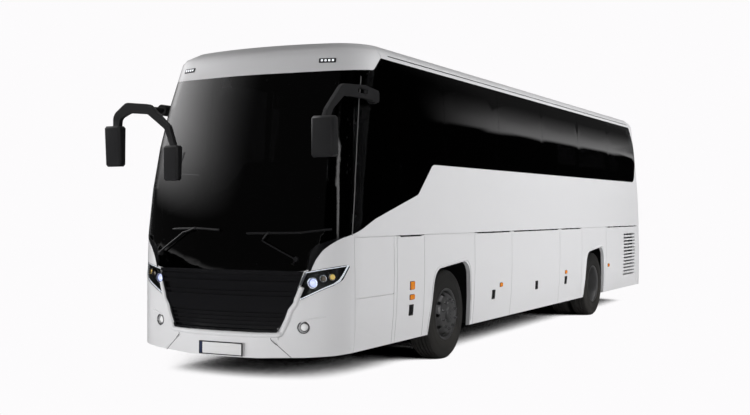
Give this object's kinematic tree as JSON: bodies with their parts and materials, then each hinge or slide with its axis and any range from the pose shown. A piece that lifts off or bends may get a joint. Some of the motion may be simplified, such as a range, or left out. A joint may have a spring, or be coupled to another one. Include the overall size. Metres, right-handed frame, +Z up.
{
  "type": "coach bus",
  "caption": "Long-distance coach bus with dark glazing, underfloor luggage flaps, forward entrance door, steered front axle and twin rear wheels.",
  "frame": {"origin": "middle of the bounding box, on the ground the wheels stand on", "axes": "+Z up, +Y towards the rear of the coach, +X towards the coach's left side"},
  "size_m": [2.8, 12.25, 3.4599],
  "materials": {
    "body_paint": "satin",
    "black_trim": "matte",
    "lamp_glass": "gloss",
    "dark_glass": "gloss",
    "frame_steel": "satin",
    "cast_metal": "matte",
    "bellows_rubber": "matte",
    "floor_plastic": "matte",
    "seat_cloth": "matte",
    "pale_plastic": "matte",
    "tyre_rubber": "matte",
    "rim_steel": "satin"
  },
  "bodies": {
    "coach_body": {"side_wall_left": "body_paint", "side_wall_right": "body_paint", "front_mask": "body_paint", "grille_panel": "black_trim", "lamps": "lamp_glass", "front_visor": "body_paint", "roof_panel": "body_paint", "windscreen": "dark_glass", "rear_wall": "body_paint", "body_glass": "dark_glass", "front_axle": "cast_metal", "rear_axle": "cast_metal", "air_springs": "bellows_rubber", "underframe": "frame_steel", "luggage_bay": "frame_steel", "floor_deck": "floor_plastic", "wheel_housings": "black_trim", "engine_block": "cast_metal", "seats": "seat_cloth", "dashboard": "black_trim", "luggage_racks": "pale_plastic", "mirrors": "black_trim", "wipers": "black_trim"},
    "knuckle_left": {"knuckle_left": "cast_metal"},
    "knuckle_right": {"knuckle_right": "cast_metal"},
    "track_rod": {"tie_rod": "frame_steel"},
    "front_wheel_left": {"front_tyre_left": "tyre_rubber", "front_rim_left": "rim_steel"},
    "front_wheel_right": {"front_tyre_right": "tyre_rubber", "front_rim_right": "rim_steel"},
    "rear_wheels_left": {"rear_tyres_left": "tyre_rubber", "rear_rims_left": "rim_steel"},
    "rear_wheels_right": {"rear_tyres_right": "tyre_rubber", "rear_rims_right": "rim_steel"},
    "door_carrier": {"door_arm": "frame_steel"},
    "passenger_door": {"door_leaf": "body_paint", "door_glass": "dark_glass"},
    "service_flap": {"service_flap": "body_paint"},
    "engine_hatch": {"engine_hatch": "body_paint"},
    "luggage_flap_left_1": {"luggage_flap_left_1": "body_paint"},
    "luggage_flap_left_2": {"luggage_flap_left_2": "body_paint"},
    "luggage_flap_left_3": {"luggage_flap_left_3": "body_paint"},
    "engine_flap_left": {"engine_flap_left": "body_paint"},
    "luggage_flap_right_1": {"luggage_flap_right_1": "body_paint"},
    "luggage_flap_right_2": {"luggage_flap_right_2": "body_paint"},
    "luggage_flap_right_3": {"luggage_flap_right_3": "body_paint"},
    "engine_flap_right": {"engine_flap_right": "body_paint"}
  },
  "joints": [
    {"name": "steer_left", "type": "hinge", "parent": "coach_body", "child": "knuckle_left", "pos_m": [0.96, -3.135, 0.515], "axis": [0, 0, 1], "range_deg": [-45, 45]},
    {"name": "steer_right", "type": "hinge", "parent": "coach_body", "child": "knuckle_right", "pos_m": [-0.96, -3.135, 0.515], "axis": [0, 0, 1], "range_deg": [-45, 45]},
    {"name": "track_rod_swing", "type": "hinge", "parent": "knuckle_left", "child": "track_rod", "pos_m": [0.96, -2.98, 0.373], "axis": [0, 0, 1], "range_deg": [-46, 46]},
    {"name": "front_wheel_left_roll", "type": "hinge", "parent": "knuckle_left", "child": "front_wheel_left", "pos_m": [1.068, -3.135, 0.515], "axis": [1, 0, 0], "continuous": true},
    {"name": "rear_wheels_left_roll", "type": "hinge", "parent": "coach_body", "child": "rear_wheels_left", "pos_m": [0.925, 2.825, 0.515], "axis": [1, 0, 0], "continuous": true},
    {"name": "front_wheel_right_roll", "type": "hinge", "parent": "knuckle_right", "child": "front_wheel_right", "pos_m": [-1.068, -3.135, 0.515], "axis": [1, 0, 0], "continuous": true},
    {"name": "rear_wheels_right_roll", "type": "hinge", "parent": "coach_body", "child": "rear_wheels_right", "pos_m": [-0.925, 2.825, 0.515], "axis": [1, 0, 0], "continuous": true},
    {"name": "door_carrier_swing", "type": "hinge", "parent": "coach_body", "child": "door_carrier", "pos_m": [-1.148, -5.315, 1.2], "axis": [0, 0, 1], "range_deg": [0, 150]},
    {"name": "passenger_door_swing", "type": "hinge", "parent": "door_carrier", "child": "passenger_door", "pos_m": [-1.148, -4.755, 1.2], "axis": [0, 0, 1], "range_deg": [-150, 0]},
    {"name": "service_flap_lift", "type": "hinge", "parent": "coach_body", "child": "service_flap", "pos_m": [1.269, -4.22, 1.437], "axis": [0, -1, 0], "range_deg": [0, 90]},
    {"name": "luggage_flap_left_1_lift", "type": "hinge", "parent": "coach_body", "child": "luggage_flap_left_1", "pos_m": [1.269, -1.79, 1.437], "axis": [0, -1, 0], "range_deg": [0, 90]},
    {"name": "luggage_flap_left_2_lift", "type": "hinge", "parent": "coach_body", "child": "luggage_flap_left_2", "pos_m": [1.269, -0.12, 1.437], "axis": [0, -1, 0], "range_deg": [0, 90]},
    {"name": "luggage_flap_left_3_lift", "type": "hinge", "parent": "coach_body", "child": "luggage_flap_left_3", "pos_m": [1.269, 1.47, 1.437], "axis": [0, -1, 0], "range_deg": [0, 90]},
    {"name": "engine_flap_left_lift", "type": "hinge", "parent": "coach_body", "child": "engine_flap_left", "pos_m": [1.269, 4.515, 1.437], "axis": [0, -1, 0], "range_deg": [0, 90]},
    {"name": "luggage_flap_right_1_lift", "type": "hinge", "parent": "coach_body", "child": "luggage_flap_right_1", "pos_m": [-1.269, -1.79, 1.437], "axis": [0, 1, 0], "range_deg": [0, 90]},
    {"name": "luggage_flap_right_2_lift", "type": "hinge", "parent": "coach_body", "child": "luggage_flap_right_2", "pos_m": [-1.269, -0.12, 1.437], "axis": [0, 1, 0], "range_deg": [0, 90]},
    {"name": "luggage_flap_right_3_lift", "type": "hinge", "parent": "coach_body", "child": "luggage_flap_right_3", "pos_m": [-1.269, 1.47, 1.437], "axis": [0, 1, 0], "range_deg": [0, 90]},
    {"name": "engine_flap_right_lift", "type": "hinge", "parent": "coach_body", "child": "engine_flap_right", "pos_m": [-1.269, 4.515, 1.437], "axis": [0, 1, 0], "range_deg": [0, 90]},
    {"name": "engine_hatch_lift", "type": "hinge", "parent": "coach_body", "child": "engine_hatch", "pos_m": [0, 6.09272, 1.645], "axis": [1, 0, 0], "range_deg": [0, 90]}
  ],
  "couplings": [
    {"joint": "steer_right", "follows": "steer_left", "ratio": 1},
    {"joint": "track_rod_swing", "follows": "steer_left", "ratio": -1},
    {"joint": "passenger_door_swing", "follows": "door_carrier_swing", "ratio": -1}
  ]
}
